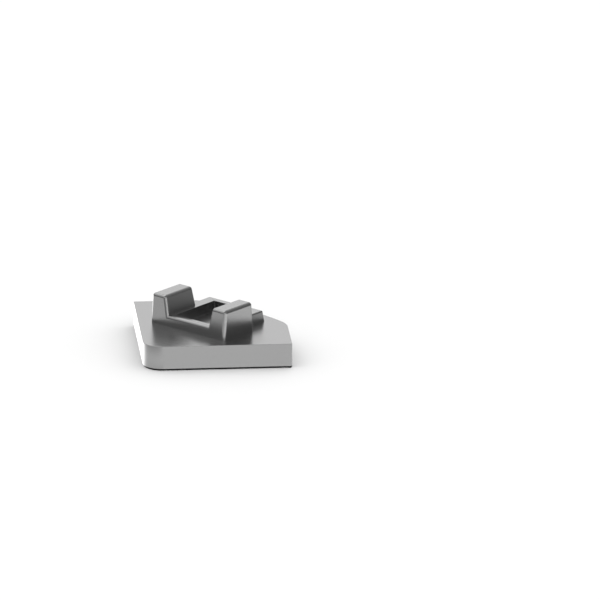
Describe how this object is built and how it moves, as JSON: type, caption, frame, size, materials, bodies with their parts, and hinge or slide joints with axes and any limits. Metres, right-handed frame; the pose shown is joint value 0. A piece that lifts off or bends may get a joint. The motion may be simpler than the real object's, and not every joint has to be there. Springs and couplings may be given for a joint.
{
  "type": "profile end cap",
  "caption": "One-piece corner profile end cap: a quarter-round plate with a low ring and two drafted posts that plug into the end of the profile.",
  "frame": {"origin": "middle of the square that the two long sides span, on the outer face", "axes": "+X and +Y along the two long sides, away from the corner between them; +Z from the outer face towards the plug"},
  "size_m": [0.018, 0.018, 0.0068],
  "materials": {
    "silver_plastic": "silver grey with a satin metallic sheen"
  },
  "bodies": {
    "root": {"end_cap": "silver_plastic"}
  },
  "joints": []
}
